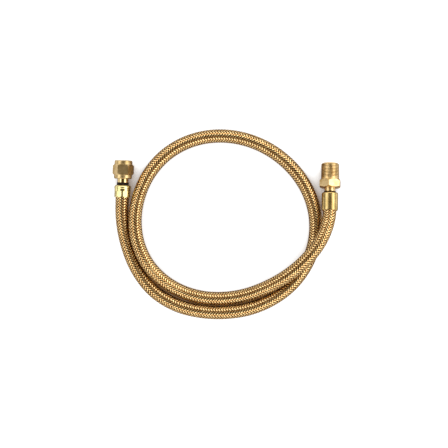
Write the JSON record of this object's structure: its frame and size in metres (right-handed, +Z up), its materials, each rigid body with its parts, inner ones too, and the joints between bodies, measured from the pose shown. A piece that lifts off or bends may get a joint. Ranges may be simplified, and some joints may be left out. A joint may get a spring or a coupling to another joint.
{
  "type": "braided supply line",
  "caption": "Braided plumbing supply hose lying in loose loops, with a crimped swivel nut on one end and a hexed male pipe thread on the other, made to carry water from a valve to an appliance.",
  "frame": {"origin": "on the floor that the line lies on, under the middle of its outline", "axes": "+X across the loops from the swivel nut's side to the male end's side, +Y towards the two ends, +Z up from the floor"},
  "size_m": [0.2166, 0.18, 0.0261],
  "materials": {
    "braid": "drawn bronze wire, woven",
    "hose_rubber": "matt moulded",
    "ferrule_brass": "drawn and crimped, bright",
    "stem_brass": "turned",
    "male_brass": "turned",
    "nut_brass": "turned from hex bar",
    "washer_rubber": "matt moulded"
  },
  "bodies": {
    "line": {"braid_sleeve": "braid", "inner_tube": "hose_rubber", "nut_ferrule": "ferrule_brass", "male_ferrule": "ferrule_brass", "nut_stem": "stem_brass", "male_stem": "male_brass", "seat_washer": "washer_rubber"},
    "nut": {"swivel_nut": "nut_brass"}
  },
  "joints": [
    {"name": "nut_swivel", "type": "hinge", "parent": "line", "child": "nut", "pos_m": [-0.09764, 0.05159, 0.00873], "axis": [0.0332, 0.9995, 0], "continuous": true}
  ]
}
